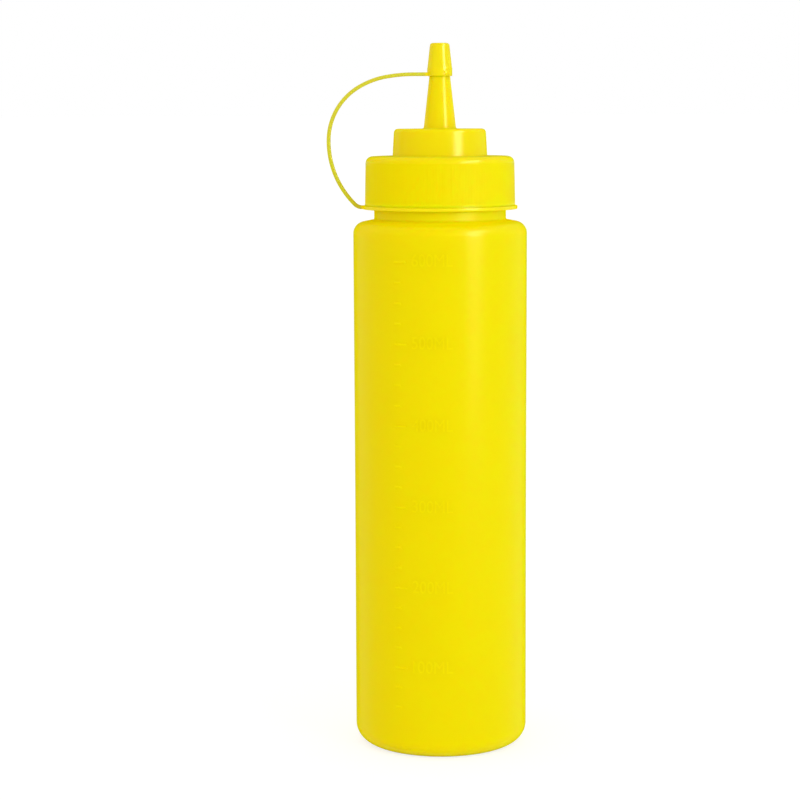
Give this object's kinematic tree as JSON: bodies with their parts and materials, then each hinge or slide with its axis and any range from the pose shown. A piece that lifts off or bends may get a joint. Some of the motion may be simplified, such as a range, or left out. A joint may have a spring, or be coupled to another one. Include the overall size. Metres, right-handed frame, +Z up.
{
  "type": "sauce squeeze bottle",
  "caption": "Tall round squeeze bottle for sauce, with a ribbed screw lid, a tapered nozzle and a tip cap tethered by a curved strap.",
  "frame": {"origin": "centre of the base, on the surface that the bottle stands on", "axes": "+Z up along the bottle's axis, front with the capacity scale towards -Y, tether on the -X side"},
  "size_m": [0.0776, 0.0676, 0.2749],
  "materials": {
    "bottle": "satin yellow soft plastic",
    "lid": "glossy yellow plastic",
    "tip_cap": "glossy yellow soft plastic"
  },
  "bodies": {
    "root": {"bottle": "bottle", "lid": "lid", "tip_cap": "tip_cap"}
  },
  "joints": []
}
